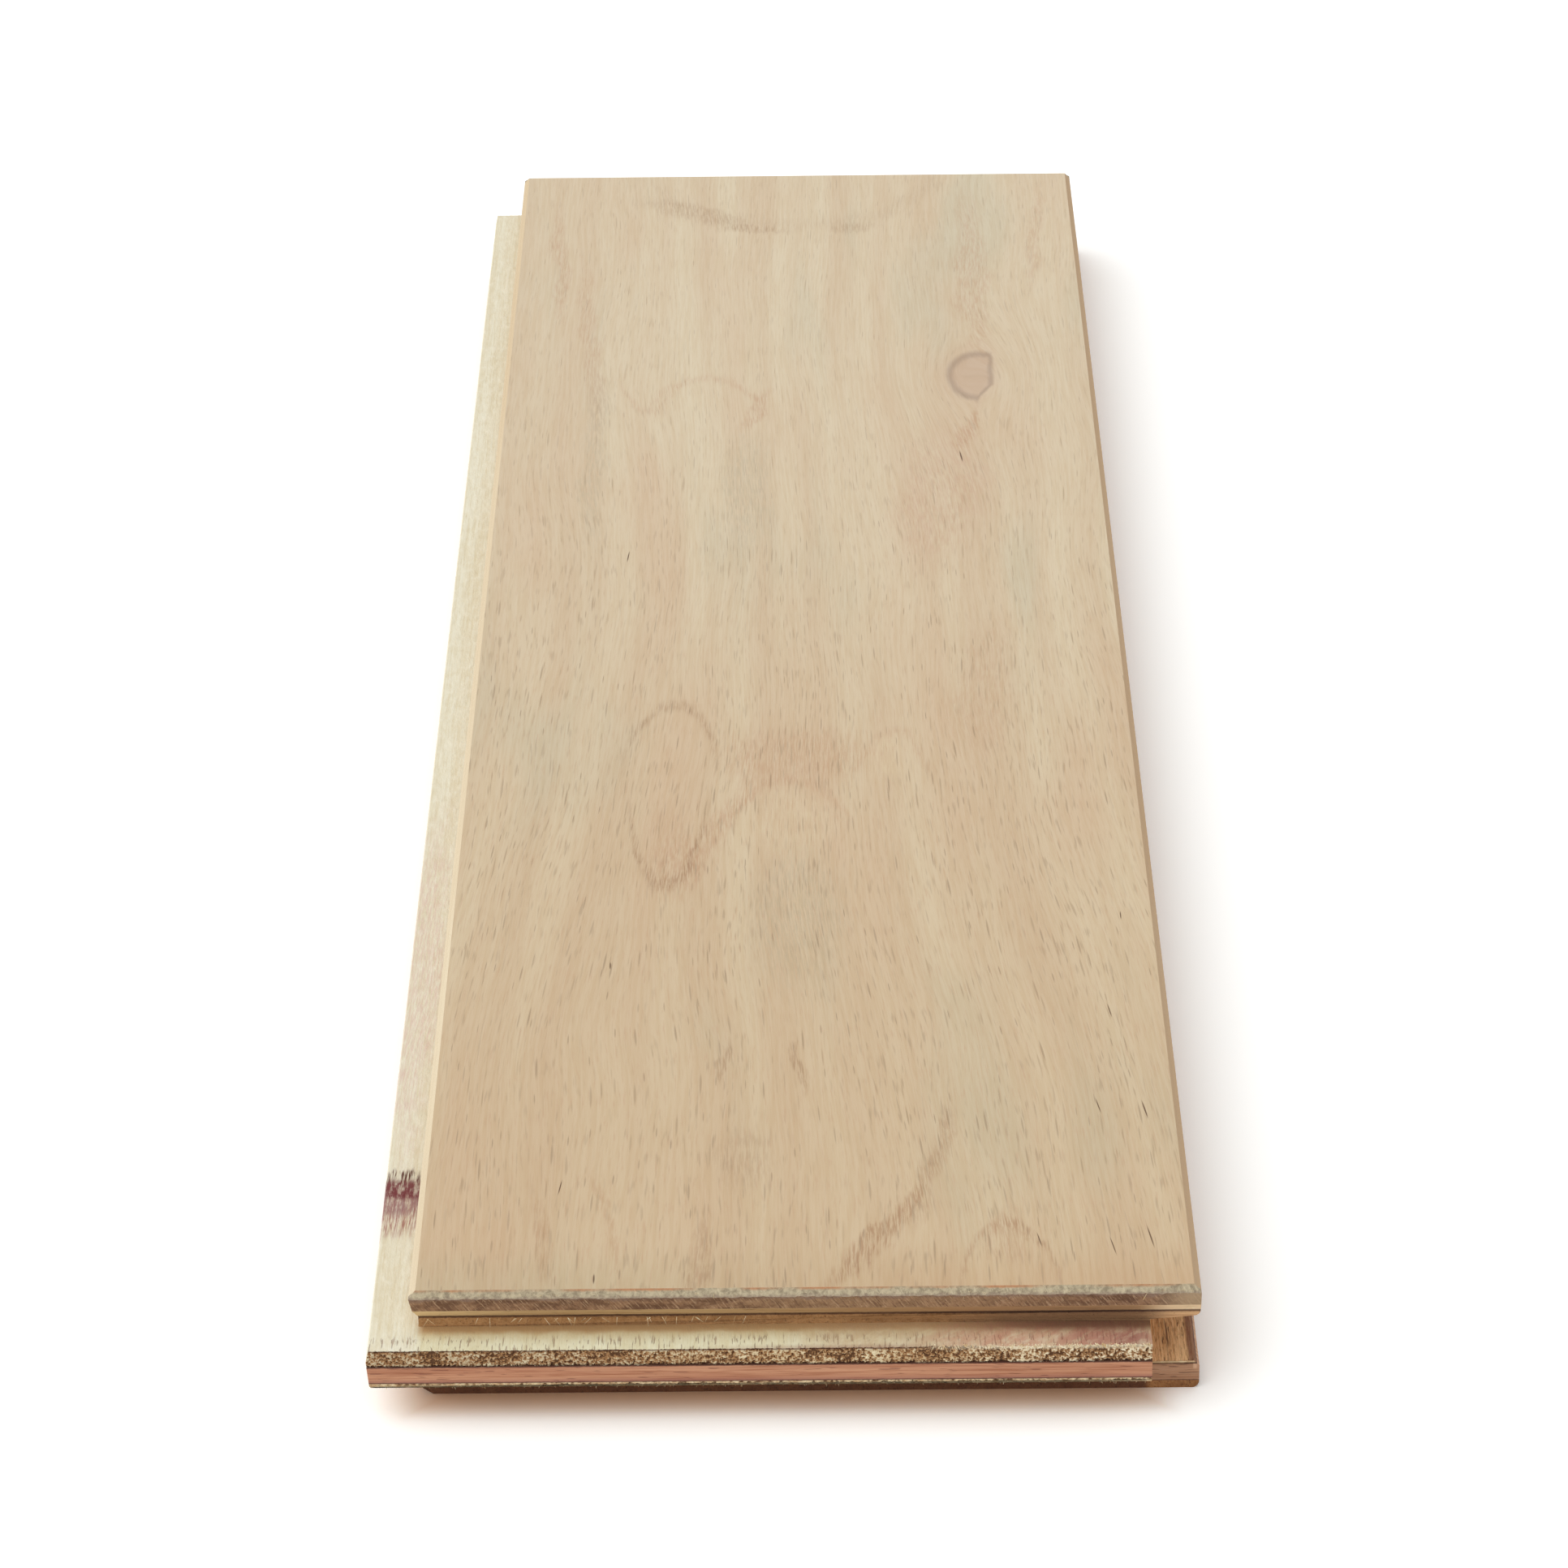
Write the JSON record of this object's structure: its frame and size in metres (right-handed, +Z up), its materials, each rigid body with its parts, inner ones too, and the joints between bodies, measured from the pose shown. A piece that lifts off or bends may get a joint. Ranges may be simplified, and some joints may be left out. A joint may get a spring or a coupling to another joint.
{
  "type": "herringbone parquet block",
  "caption": "Flat engineered oak herringbone floor block on cross-banded plywood, with bevelled face edges, a tongue along one side and end and a groove along the other side and end.",
  "frame": {"origin": "centre of the laid face area, on the underside that is glued down", "axes": "+Z up through the oak face, +Y along the length towards the grooved end, +X across the width towards the grooved side"},
  "size_m": [0.0948, 0.3648, 0.014],
  "materials": {
    "oak": "brushed and matt, unfilled grain",
    "cream_veneer": "raw milled veneer",
    "tan_ply": "raw milled ply",
    "pale_ply": "raw milled ply",
    "salmon_ply": "raw milled ply",
    "beige_ply": "raw milled ply, torn edges",
    "brown_ply": "raw milled ply",
    "dark_veneer": "raw sanded veneer"
  },
  "bodies": {
    "root": {"oak_wear_layer": "oak", "face_veneer": "cream_veneer", "upper_ply": "tan_ply", "tongue_ply": "pale_ply", "middle_ply": "salmon_ply", "groove_ply": "beige_ply", "lip_ply": "brown_ply", "back_veneer": "dark_veneer"}
  },
  "joints": []
}
